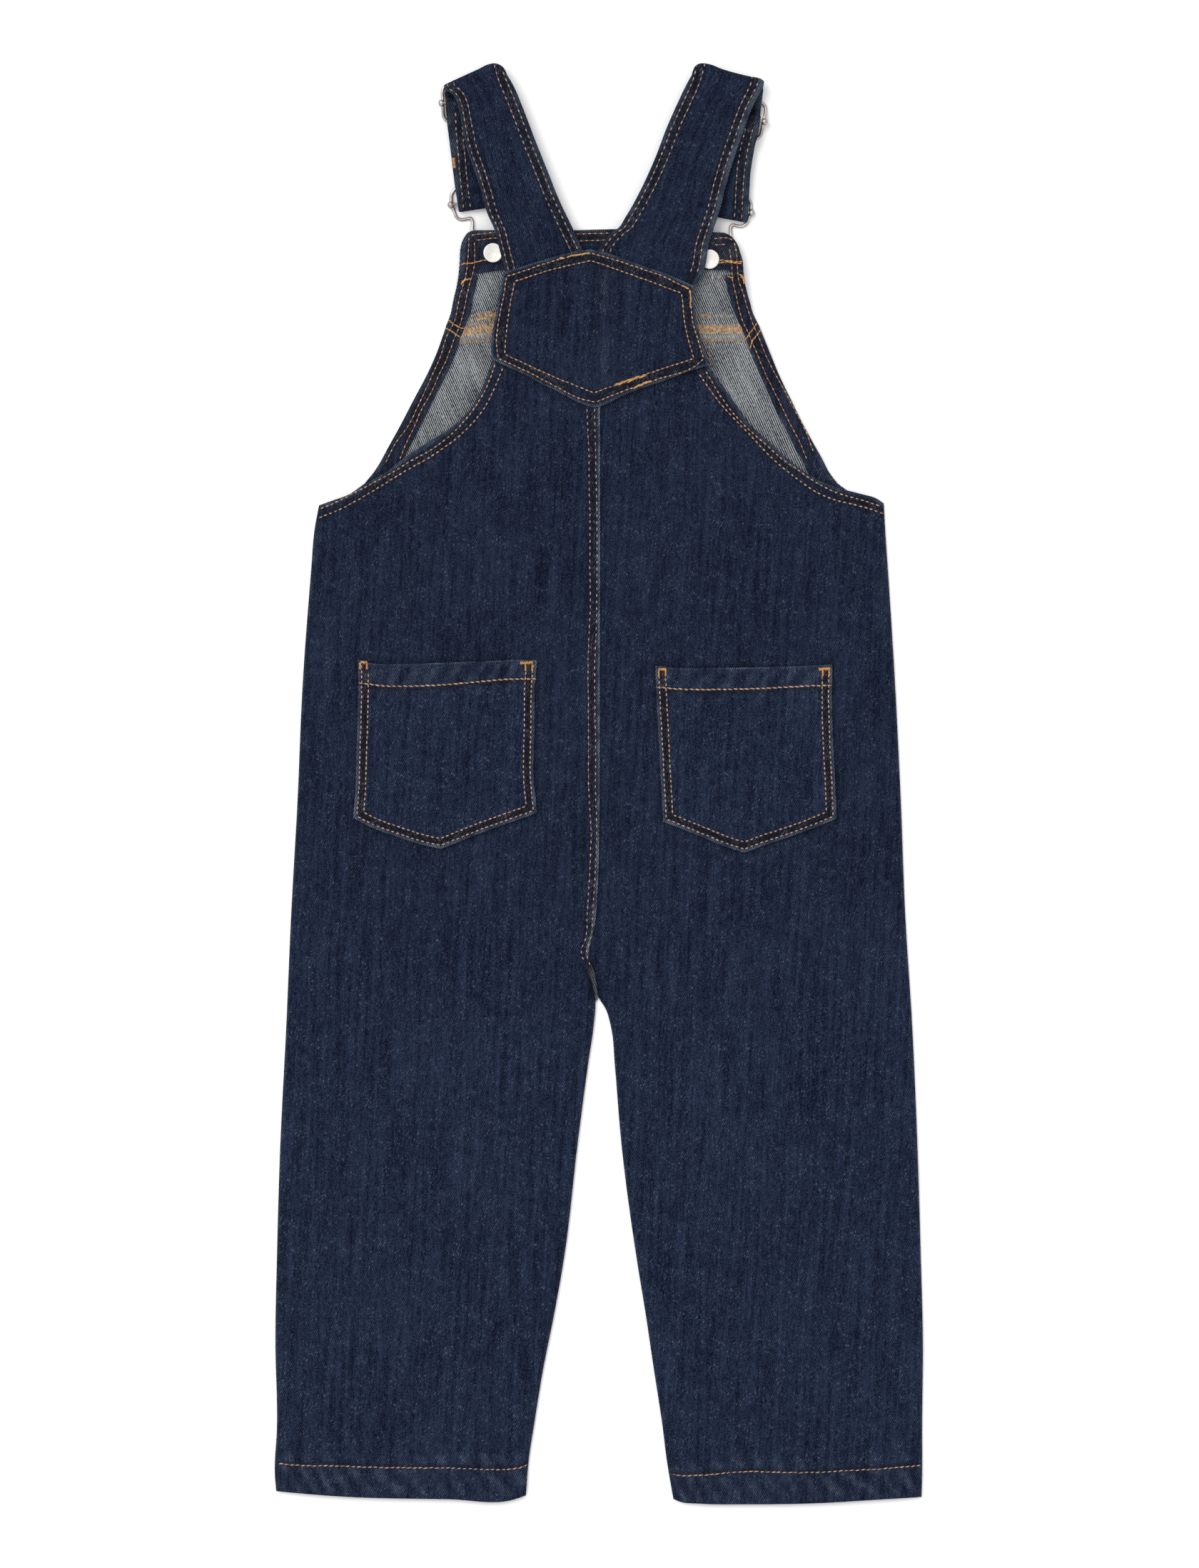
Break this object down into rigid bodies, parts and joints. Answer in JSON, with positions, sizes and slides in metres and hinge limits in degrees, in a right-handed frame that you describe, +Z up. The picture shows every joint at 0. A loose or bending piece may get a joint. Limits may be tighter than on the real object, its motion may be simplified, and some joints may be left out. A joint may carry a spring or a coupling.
{
  "type": "denim dungarees",
  "caption": "Child's denim dungarees lying flat with the back up: bib, shoulder straps with wire slides and hooks, pointed back yoke, patch pockets and straight legs.",
  "frame": {"origin": "on the surface that the garment lies on, under the middle of its length and width", "axes": "+X to the right of a viewer who looks down at the back, +Y from the leg hems to the straps, +Z up from the surface"},
  "size_m": [0.336, 0.7457, 0.0113],
  "materials": {
    "denim": "dark indigo twill",
    "denim_wrong_side": "pale twill, the cloth's wrong side",
    "silver_metal": "plated wire and pressed caps, pale silver"
  },
  "bodies": {
    "root": {"back_left": "denim", "back_right": "denim", "back_yoke": "denim", "back_pocket_left": "denim", "back_pocket_right": "denim", "bib_facing": "denim", "front_hem_left": "denim", "front_hem_right": "denim", "strap_left": "denim", "strap_right": "denim", "bib": "denim_wrong_side", "front_left": "denim_wrong_side", "front_right": "denim_wrong_side", "slider_left": "silver_metal", "slider_right": "silver_metal", "hook_left": "silver_metal", "hook_right": "silver_metal", "button_left": "silver_metal", "button_right": "silver_metal"}
  },
  "joints": []
}
